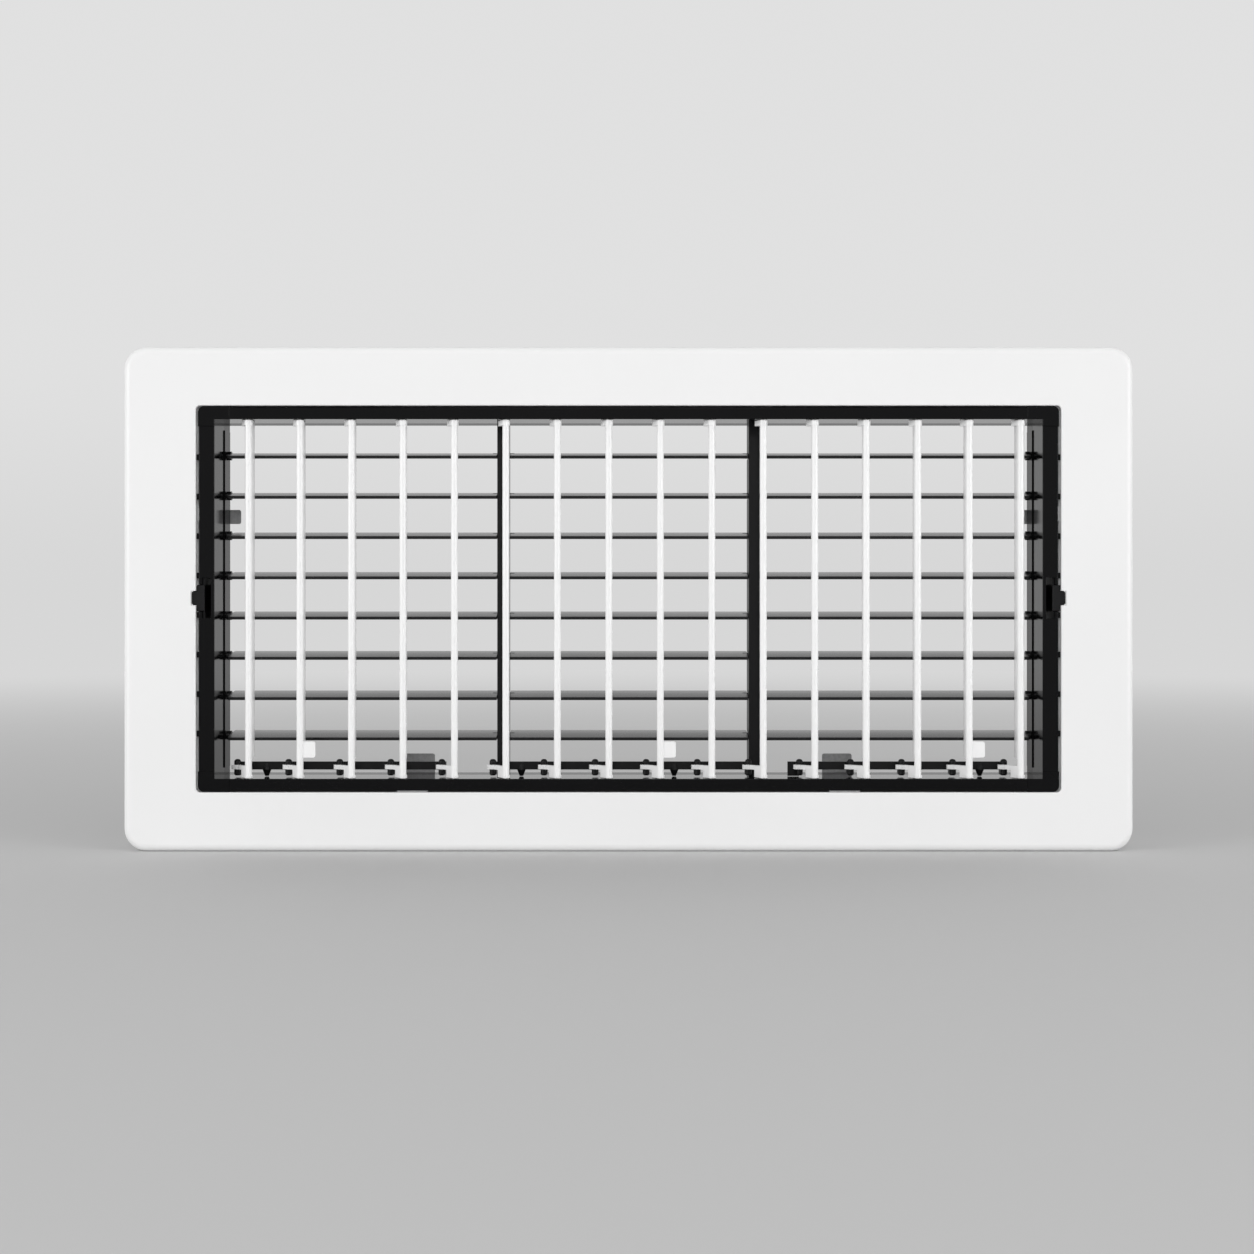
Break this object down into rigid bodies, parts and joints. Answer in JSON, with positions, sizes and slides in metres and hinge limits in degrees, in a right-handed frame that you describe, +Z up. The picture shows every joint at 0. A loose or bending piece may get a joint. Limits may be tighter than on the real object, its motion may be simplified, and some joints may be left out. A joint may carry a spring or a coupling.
{
  "type": "supply air register",
  "caption": "Wall supply air register: white moulded face frame with a removable black core of linked upright front blades and level rear blades, held by sliding thumb latches.",
  "frame": {"origin": "centre of the opening, in the plane where the back of the face frame meets the wall", "axes": "+X to the right seen from the room, +Y back into the wall, +Z up"},
  "size_m": [0.528, 0.0422, 0.264],
  "materials": {
    "white_plastic": "white satin moulding",
    "black_plastic": "black semi-gloss moulding",
    "spring_steel": "plated spring steel"
  },
  "bodies": {
    "register": {"face_frame": "white_plastic", "top_rail": "black_plastic", "bottom_rail": "black_plastic", "left_rail": "black_plastic", "right_rail": "black_plastic", "corner_top_left": "black_plastic", "corner_top_right": "black_plastic", "corner_bottom_left": "black_plastic", "corner_bottom_right": "black_plastic", "left_mullion": "black_plastic", "right_mullion": "black_plastic", "bottom_clip_left": "spring_steel", "bottom_clip_right": "spring_steel", "side_clip_left": "spring_steel", "side_clip_right": "spring_steel"},
    "front_blade_01": {"front_blade_01": "white_plastic"},
    "front_blade_02": {"front_blade_02": "white_plastic"},
    "front_blade_03": {"front_blade_03": "white_plastic"},
    "front_blade_04": {"front_blade_04": "white_plastic"},
    "front_blade_05": {"front_blade_05": "white_plastic"},
    "left_link": {"left_link": "black_plastic"},
    "front_blade_06": {"front_blade_06": "white_plastic"},
    "front_blade_07": {"front_blade_07": "white_plastic"},
    "front_blade_08": {"front_blade_08": "white_plastic"},
    "front_blade_09": {"front_blade_09": "white_plastic"},
    "front_blade_10": {"front_blade_10": "white_plastic"},
    "front_blade_11": {"front_blade_11": "white_plastic"},
    "middle_link": {"middle_link": "black_plastic"},
    "front_blade_12": {"front_blade_12": "white_plastic"},
    "front_blade_13": {"front_blade_13": "white_plastic"},
    "front_blade_14": {"front_blade_14": "white_plastic"},
    "front_blade_15": {"front_blade_15": "white_plastic"},
    "front_blade_16": {"front_blade_16": "white_plastic"},
    "right_link": {"right_link": "black_plastic"},
    "rear_blade_1": {"rear_blade_1": "black_plastic"},
    "rear_blade_2": {"rear_blade_2": "black_plastic"},
    "rear_blade_3": {"rear_blade_3": "black_plastic"},
    "rear_blade_4": {"rear_blade_4": "black_plastic"},
    "rear_blade_5": {"rear_blade_5": "black_plastic"},
    "rear_blade_6": {"rear_blade_6": "black_plastic"},
    "rear_blade_7": {"rear_blade_7": "black_plastic"},
    "rear_blade_8": {"rear_blade_8": "black_plastic"},
    "rear_link": {"rear_link": "black_plastic"},
    "left_latch": {"left_latch": "black_plastic"},
    "right_latch": {"right_latch": "black_plastic"}
  },
  "joints": [
    {"name": "front_blade_01_turn", "type": "hinge", "parent": "register", "child": "front_blade_01", "pos_m": [-0.1993, -0.0032, 0], "axis": [0, 0, 1], "range_deg": [-30, 30]},
    {"name": "front_blade_02_turn", "type": "hinge", "parent": "register", "child": "front_blade_02", "pos_m": [-0.1723, -0.0032, 0], "axis": [0, 0, 1], "range_deg": [-30, 30]},
    {"name": "front_blade_03_turn", "type": "hinge", "parent": "register", "child": "front_blade_03", "pos_m": [-0.1453, -0.0032, 0], "axis": [0, 0, 1], "range_deg": [-30, 30]},
    {"name": "front_blade_04_turn", "type": "hinge", "parent": "register", "child": "front_blade_04", "pos_m": [-0.1183, -0.0032, 0], "axis": [0, 0, 1], "range_deg": [-30, 30]},
    {"name": "front_blade_05_turn", "type": "hinge", "parent": "register", "child": "front_blade_05", "pos_m": [-0.0913, -0.0032, 0], "axis": [0, 0, 1], "range_deg": [-30, 30]},
    {"name": "left_link_pivot", "type": "hinge", "parent": "front_blade_02", "child": "left_link", "pos_m": [-0.17966, 0.00498, -0.08875], "axis": [0, 0, 1], "range_deg": [-30, 30]},
    {"name": "front_blade_06_turn", "type": "hinge", "parent": "register", "child": "front_blade_06", "pos_m": [-0.0643, -0.0032, 0], "axis": [0, 0, 1], "range_deg": [-30, 30]},
    {"name": "front_blade_07_turn", "type": "hinge", "parent": "register", "child": "front_blade_07", "pos_m": [-0.0373, -0.0032, 0], "axis": [0, 0, 1], "range_deg": [-30, 30]},
    {"name": "front_blade_08_turn", "type": "hinge", "parent": "register", "child": "front_blade_08", "pos_m": [-0.0103, -0.0032, 0], "axis": [0, 0, 1], "range_deg": [-30, 30]},
    {"name": "front_blade_09_turn", "type": "hinge", "parent": "register", "child": "front_blade_09", "pos_m": [0.0167, -0.0032, 0], "axis": [0, 0, 1], "range_deg": [-30, 30]},
    {"name": "front_blade_10_turn", "type": "hinge", "parent": "register", "child": "front_blade_10", "pos_m": [0.0437, -0.0032, 0], "axis": [0, 0, 1], "range_deg": [-30, 30]},
    {"name": "front_blade_11_turn", "type": "hinge", "parent": "register", "child": "front_blade_11", "pos_m": [0.0707, -0.0032, 0], "axis": [0, 0, 1], "range_deg": [-30, 30]},
    {"name": "middle_link_pivot", "type": "hinge", "parent": "front_blade_09", "child": "middle_link", "pos_m": [0.00934, 0.00498, -0.08875], "axis": [0, 0, 1], "range_deg": [-30, 30]},
    {"name": "front_blade_12_turn", "type": "hinge", "parent": "register", "child": "front_blade_12", "pos_m": [0.0977, -0.0032, 0], "axis": [0, 0, 1], "range_deg": [-30, 30]},
    {"name": "front_blade_13_turn", "type": "hinge", "parent": "register", "child": "front_blade_13", "pos_m": [0.1247, -0.0032, 0], "axis": [0, 0, 1], "range_deg": [-30, 30]},
    {"name": "front_blade_14_turn", "type": "hinge", "parent": "register", "child": "front_blade_14", "pos_m": [0.1517, -0.0032, 0], "axis": [0, 0, 1], "range_deg": [-30, 30]},
    {"name": "front_blade_15_turn", "type": "hinge", "parent": "register", "child": "front_blade_15", "pos_m": [0.1787, -0.0032, 0], "axis": [0, 0, 1], "range_deg": [-30, 30]},
    {"name": "front_blade_16_turn", "type": "hinge", "parent": "register", "child": "front_blade_16", "pos_m": [0.2057, -0.0032, 0], "axis": [0, 0, 1], "range_deg": [-30, 30]},
    {"name": "right_link_pivot", "type": "hinge", "parent": "front_blade_15", "child": "right_link", "pos_m": [0.17134, 0.00498, -0.08875], "axis": [0, 0, 1], "range_deg": [-30, 30]},
    {"name": "rear_blade_1_tilt", "type": "hinge", "parent": "register", "child": "rear_blade_1", "pos_m": [0, 0.0215, 0.07685], "axis": [1, 0, 0], "range_deg": [-47.5, 32.5]},
    {"name": "rear_blade_2_tilt", "type": "hinge", "parent": "register", "child": "rear_blade_2", "pos_m": [0, 0.0215, 0.05542], "axis": [1, 0, 0], "range_deg": [-47.5, 32.5]},
    {"name": "rear_blade_3_tilt", "type": "hinge", "parent": "register", "child": "rear_blade_3", "pos_m": [0, 0.0215, 0.03399], "axis": [1, 0, 0], "range_deg": [-47.5, 32.5]},
    {"name": "rear_blade_4_tilt", "type": "hinge", "parent": "register", "child": "rear_blade_4", "pos_m": [0, 0.0215, 0.01256], "axis": [1, 0, 0], "range_deg": [-47.5, 32.5]},
    {"name": "rear_blade_5_tilt", "type": "hinge", "parent": "register", "child": "rear_blade_5", "pos_m": [0, 0.0215, -0.00886], "axis": [1, 0, 0], "range_deg": [-47.5, 32.5]},
    {"name": "rear_blade_6_tilt", "type": "hinge", "parent": "register", "child": "rear_blade_6", "pos_m": [0, 0.0215, -0.03029], "axis": [1, 0, 0], "range_deg": [-47.5, 32.5]},
    {"name": "rear_blade_7_tilt", "type": "hinge", "parent": "register", "child": "rear_blade_7", "pos_m": [0, 0.0215, -0.05172], "axis": [1, 0, 0], "range_deg": [-47.5, 32.5]},
    {"name": "rear_blade_8_tilt", "type": "hinge", "parent": "register", "child": "rear_blade_8", "pos_m": [0, 0.0215, -0.07315], "axis": [1, 0, 0], "range_deg": [-47.5, 32.5]},
    {"name": "rear_link_pivot", "type": "hinge", "parent": "rear_blade_4", "child": "rear_link", "pos_m": [-0.2208, 0.02844, 0.01348], "axis": [1, 0, 0], "range_deg": [-32.5, 47.5]},
    {"name": "left_latch_slide", "type": "slide", "parent": "register", "child": "left_latch", "axis": [1, 0, 0], "range_m": [0, 0.0032]},
    {"name": "right_latch_slide", "type": "slide", "parent": "register", "child": "right_latch", "axis": [-1, 0, 0], "range_m": [0, 0.0032]}
  ],
  "couplings": [
    {"joint": "front_blade_01_turn", "follows": "front_blade_02_turn", "ratio": 1},
    {"joint": "front_blade_03_turn", "follows": "front_blade_02_turn", "ratio": 1},
    {"joint": "front_blade_04_turn", "follows": "front_blade_02_turn", "ratio": 1},
    {"joint": "front_blade_05_turn", "follows": "front_blade_02_turn", "ratio": 1},
    {"joint": "left_link_pivot", "follows": "front_blade_02_turn", "ratio": -1},
    {"joint": "front_blade_06_turn", "follows": "front_blade_09_turn", "ratio": 1},
    {"joint": "front_blade_07_turn", "follows": "front_blade_09_turn", "ratio": 1},
    {"joint": "front_blade_08_turn", "follows": "front_blade_09_turn", "ratio": 1},
    {"joint": "front_blade_10_turn", "follows": "front_blade_09_turn", "ratio": 1},
    {"joint": "front_blade_11_turn", "follows": "front_blade_09_turn", "ratio": 1},
    {"joint": "middle_link_pivot", "follows": "front_blade_09_turn", "ratio": -1},
    {"joint": "front_blade_12_turn", "follows": "front_blade_15_turn", "ratio": 1},
    {"joint": "front_blade_13_turn", "follows": "front_blade_15_turn", "ratio": 1},
    {"joint": "front_blade_14_turn", "follows": "front_blade_15_turn", "ratio": 1},
    {"joint": "front_blade_16_turn", "follows": "front_blade_15_turn", "ratio": 1},
    {"joint": "right_link_pivot", "follows": "front_blade_15_turn", "ratio": -1},
    {"joint": "rear_blade_1_tilt", "follows": "rear_blade_4_tilt", "ratio": 1},
    {"joint": "rear_blade_2_tilt", "follows": "rear_blade_4_tilt", "ratio": 1},
    {"joint": "rear_blade_3_tilt", "follows": "rear_blade_4_tilt", "ratio": 1},
    {"joint": "rear_blade_5_tilt", "follows": "rear_blade_4_tilt", "ratio": 1},
    {"joint": "rear_blade_6_tilt", "follows": "rear_blade_4_tilt", "ratio": 1},
    {"joint": "rear_blade_7_tilt", "follows": "rear_blade_4_tilt", "ratio": 1},
    {"joint": "rear_blade_8_tilt", "follows": "rear_blade_4_tilt", "ratio": 1},
    {"joint": "rear_link_pivot", "follows": "rear_blade_4_tilt", "ratio": -1}
  ]
}
